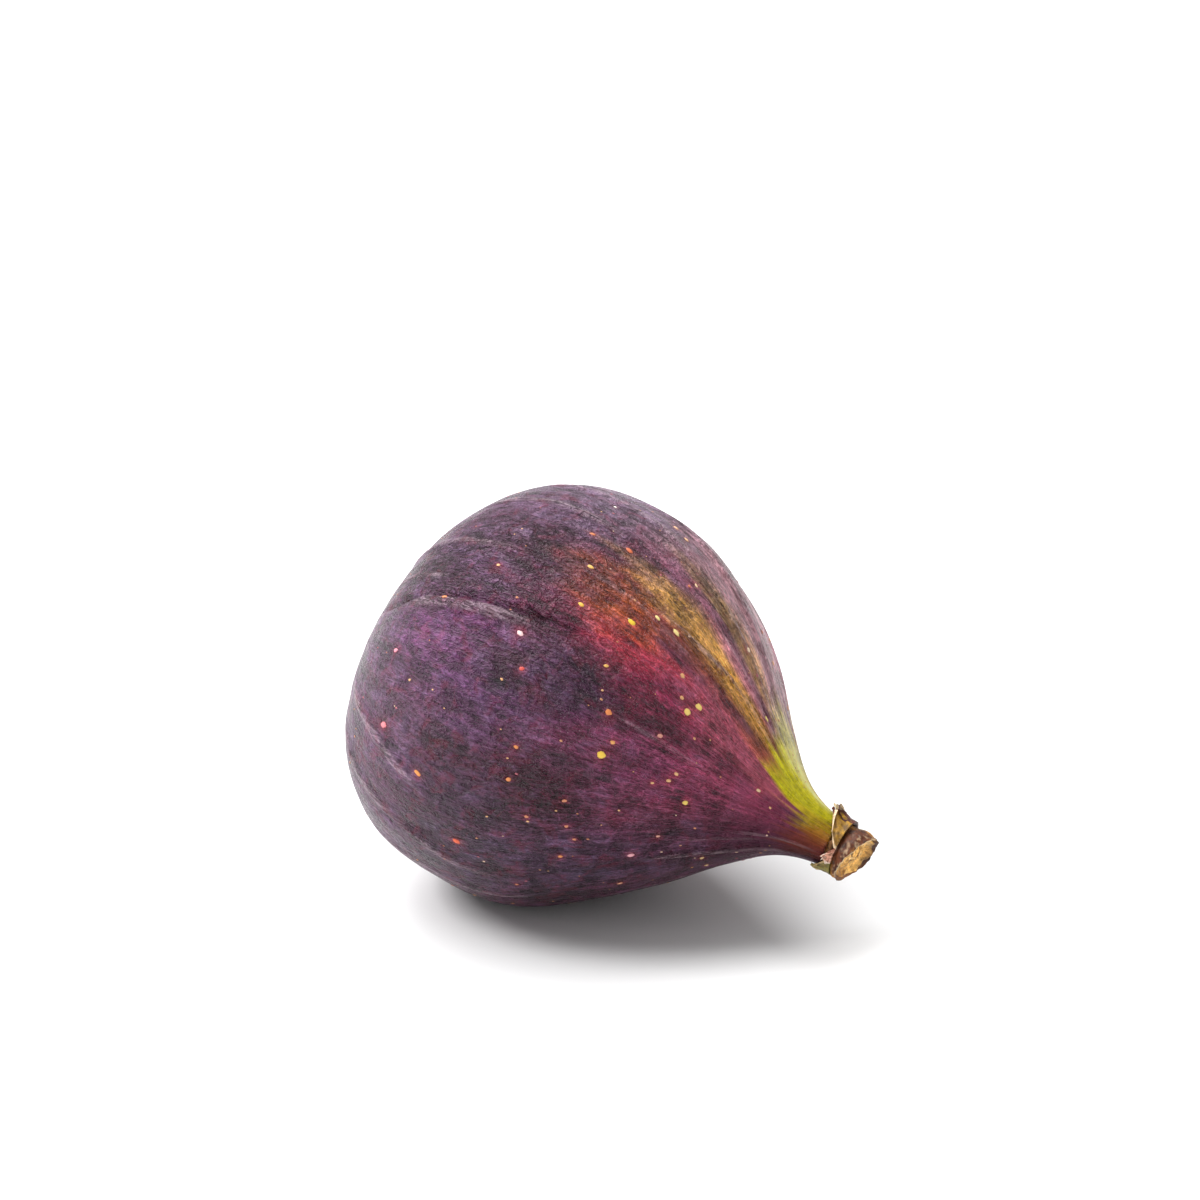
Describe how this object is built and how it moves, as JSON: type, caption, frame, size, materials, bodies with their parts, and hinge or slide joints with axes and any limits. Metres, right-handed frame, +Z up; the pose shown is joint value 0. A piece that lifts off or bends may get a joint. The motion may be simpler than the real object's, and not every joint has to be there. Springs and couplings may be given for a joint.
{
  "type": "fresh fig",
  "caption": "Whole ripe dark fig lying on its side, a round belly drawing in to a short neck with a cut woody stem and small dry scales.",
  "frame": {"origin": "on the surface that the fig rests on, under the middle of the whole fig", "axes": "+X along the fig towards the stem, +Z up, +Y to the left when looking along +X"},
  "size_m": [0.0654, 0.0532, 0.0498],
  "materials": {
    "fig_skin": "thin ripe skin, dark purple with a grey waxy bloom",
    "cut_stem": "brown bark round a tan fibrous cut",
    "dry_scale": "thin dry plant scale with a pale edge"
  },
  "bodies": {
    "root": {"fruit": "fig_skin", "stem_stub": "cut_stem", "bract_front": "dry_scale", "bract_under": "dry_scale", "bract_back": "dry_scale"}
  },
  "joints": []
}
